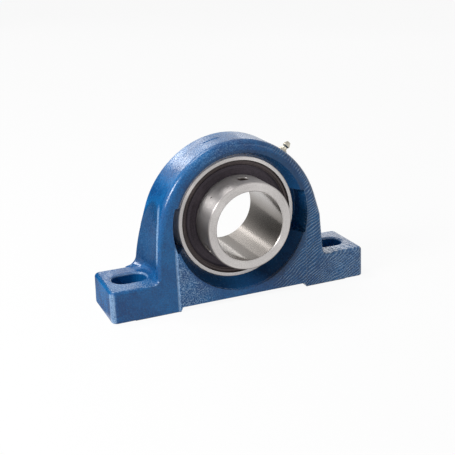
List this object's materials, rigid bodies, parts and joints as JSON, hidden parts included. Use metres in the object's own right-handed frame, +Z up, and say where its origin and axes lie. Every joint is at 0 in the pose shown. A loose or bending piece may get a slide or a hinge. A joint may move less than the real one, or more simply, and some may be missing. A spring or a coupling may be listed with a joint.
{
  "type": "pillow block bearing",
  "caption": "Cast pillow block with two slotted feet and an arch that holds a self-aligning ball bearing insert with a set screw collar and a grease nipple",
  "frame": {"origin": "on the base, midway between the two bolt slots and under the shaft axis", "axes": "+X along the base, +Y along the shaft away from the collar, +Z up"},
  "size_m": [0.238, 0.0684, 0.1389],
  "materials": {
    "cast_housing": "blue enamel on grey cast iron",
    "ring_steel": "ground bearing steel",
    "ball_steel": "polished bearing steel",
    "cage_polymer": "moulded polyamide",
    "washer_steel": "pressed steel sheet",
    "seal_rubber": "nitrile rubber",
    "flinger_steel": "dark coated steel sheet",
    "screw_steel": "blackened steel",
    "nipple_steel": "zinc plated steel",
    "spring_steel": "spring wire"
  },
  "bodies": {
    "housing": {"housing": "cast_housing", "grease_nipple_body": "nipple_steel", "grease_nipple_spring": "spring_steel"},
    "outer_ring": {"outer_ring": "ring_steel", "front_seal_washer": "washer_steel", "rear_seal_washer": "washer_steel", "front_seal_lip": "seal_rubber", "rear_seal_lip": "seal_rubber"},
    "inner_ring": {"inner_ring": "ring_steel", "front_flinger": "flinger_steel", "rear_flinger": "flinger_steel"},
    "cage": {"cage": "cage_polymer"},
    "ball_01": {"ball_01": "ball_steel"},
    "ball_02": {"ball_02": "ball_steel"},
    "ball_03": {"ball_03": "ball_steel"},
    "ball_04": {"ball_04": "ball_steel"},
    "ball_05": {"ball_05": "ball_steel"},
    "ball_06": {"ball_06": "ball_steel"},
    "ball_07": {"ball_07": "ball_steel"},
    "ball_08": {"ball_08": "ball_steel"},
    "ball_09": {"ball_09": "ball_steel"},
    "ball_10": {"ball_10": "ball_steel"},
    "set_screw_1": {"set_screw_1": "screw_steel"},
    "set_screw_2": {"set_screw_2": "screw_steel"},
    "nipple_ball": {"grease_nipple_ball": "ball_steel"}
  },
  "joints": [
    {"name": "insert_tilt", "type": "hinge", "parent": "housing", "child": "outer_ring", "pos_m": [0, 0, 0.0699], "axis": [1, 0, 0], "range_deg": [-5, 5]},
    {"name": "shaft_spin", "type": "hinge", "parent": "outer_ring", "child": "inner_ring", "pos_m": [0, 0, 0.0699], "axis": [0, 1, 0], "continuous": true},
    {"name": "cage_orbit", "type": "hinge", "parent": "outer_ring", "child": "cage", "pos_m": [0, 0, 0.0699], "axis": [0, 1, 0], "continuous": true},
    {"name": "ball_01_spin", "type": "hinge", "parent": "cage", "child": "ball_01", "pos_m": [0, 0, 0.1124], "axis": [0, 1, 0], "continuous": true},
    {"name": "ball_02_spin", "type": "hinge", "parent": "cage", "child": "ball_02", "pos_m": [0.02498, 0, 0.10428], "axis": [0, 1, 0], "continuous": true},
    {"name": "ball_03_spin", "type": "hinge", "parent": "cage", "child": "ball_03", "pos_m": [0.04042, 0, 0.08303], "axis": [0, 1, 0], "continuous": true},
    {"name": "ball_04_spin", "type": "hinge", "parent": "cage", "child": "ball_04", "pos_m": [0.04042, 0, 0.05677], "axis": [0, 1, 0], "continuous": true},
    {"name": "ball_05_spin", "type": "hinge", "parent": "cage", "child": "ball_05", "pos_m": [0.02498, 0, 0.03552], "axis": [0, 1, 0], "continuous": true},
    {"name": "ball_06_spin", "type": "hinge", "parent": "cage", "child": "ball_06", "pos_m": [0, 0, 0.0274], "axis": [0, 1, 0], "continuous": true},
    {"name": "ball_07_spin", "type": "hinge", "parent": "cage", "child": "ball_07", "pos_m": [-0.02498, 0, 0.03552], "axis": [0, 1, 0], "continuous": true},
    {"name": "ball_08_spin", "type": "hinge", "parent": "cage", "child": "ball_08", "pos_m": [-0.04042, 0, 0.05677], "axis": [0, 1, 0], "continuous": true},
    {"name": "ball_09_spin", "type": "hinge", "parent": "cage", "child": "ball_09", "pos_m": [-0.04042, 0, 0.08303], "axis": [0, 1, 0], "continuous": true},
    {"name": "ball_10_spin", "type": "hinge", "parent": "cage", "child": "ball_10", "pos_m": [-0.02498, 0, 0.10428], "axis": [0, 1, 0], "continuous": true},
    {"name": "set_screw_1_travel", "type": "slide", "parent": "inner_ring", "child": "set_screw_1", "axis": [0, 0, -1], "range_m": [-0.002, 0.0015]},
    {"name": "set_screw_2_travel", "type": "slide", "parent": "inner_ring", "child": "set_screw_2", "axis": [0.866, 0, 0.5], "range_m": [-0.002, 0.0015]},
    {"name": "nipple_ball_travel", "type": "slide", "parent": "housing", "child": "nipple_ball", "axis": [-0.7071, 0, -0.7071], "range_m": [0, 0.0008], "stiffness_N_per_m": 500, "springref_m": -0.002}
  ],
  "couplings": [
    {"joint": "cage_orbit", "follows": "shaft_spin", "ratio": 0.40662},
    {"joint": "ball_01_spin", "follows": "shaft_spin", "ratio": -2.5838},
    {"joint": "ball_02_spin", "follows": "shaft_spin", "ratio": -2.5838},
    {"joint": "ball_03_spin", "follows": "shaft_spin", "ratio": -2.5838},
    {"joint": "ball_04_spin", "follows": "shaft_spin", "ratio": -2.5838},
    {"joint": "ball_05_spin", "follows": "shaft_spin", "ratio": -2.5838},
    {"joint": "ball_06_spin", "follows": "shaft_spin", "ratio": -2.5838},
    {"joint": "ball_07_spin", "follows": "shaft_spin", "ratio": -2.5838},
    {"joint": "ball_08_spin", "follows": "shaft_spin", "ratio": -2.5838},
    {"joint": "ball_09_spin", "follows": "shaft_spin", "ratio": -2.5838},
    {"joint": "ball_10_spin", "follows": "shaft_spin", "ratio": -2.5838}
  ]
}
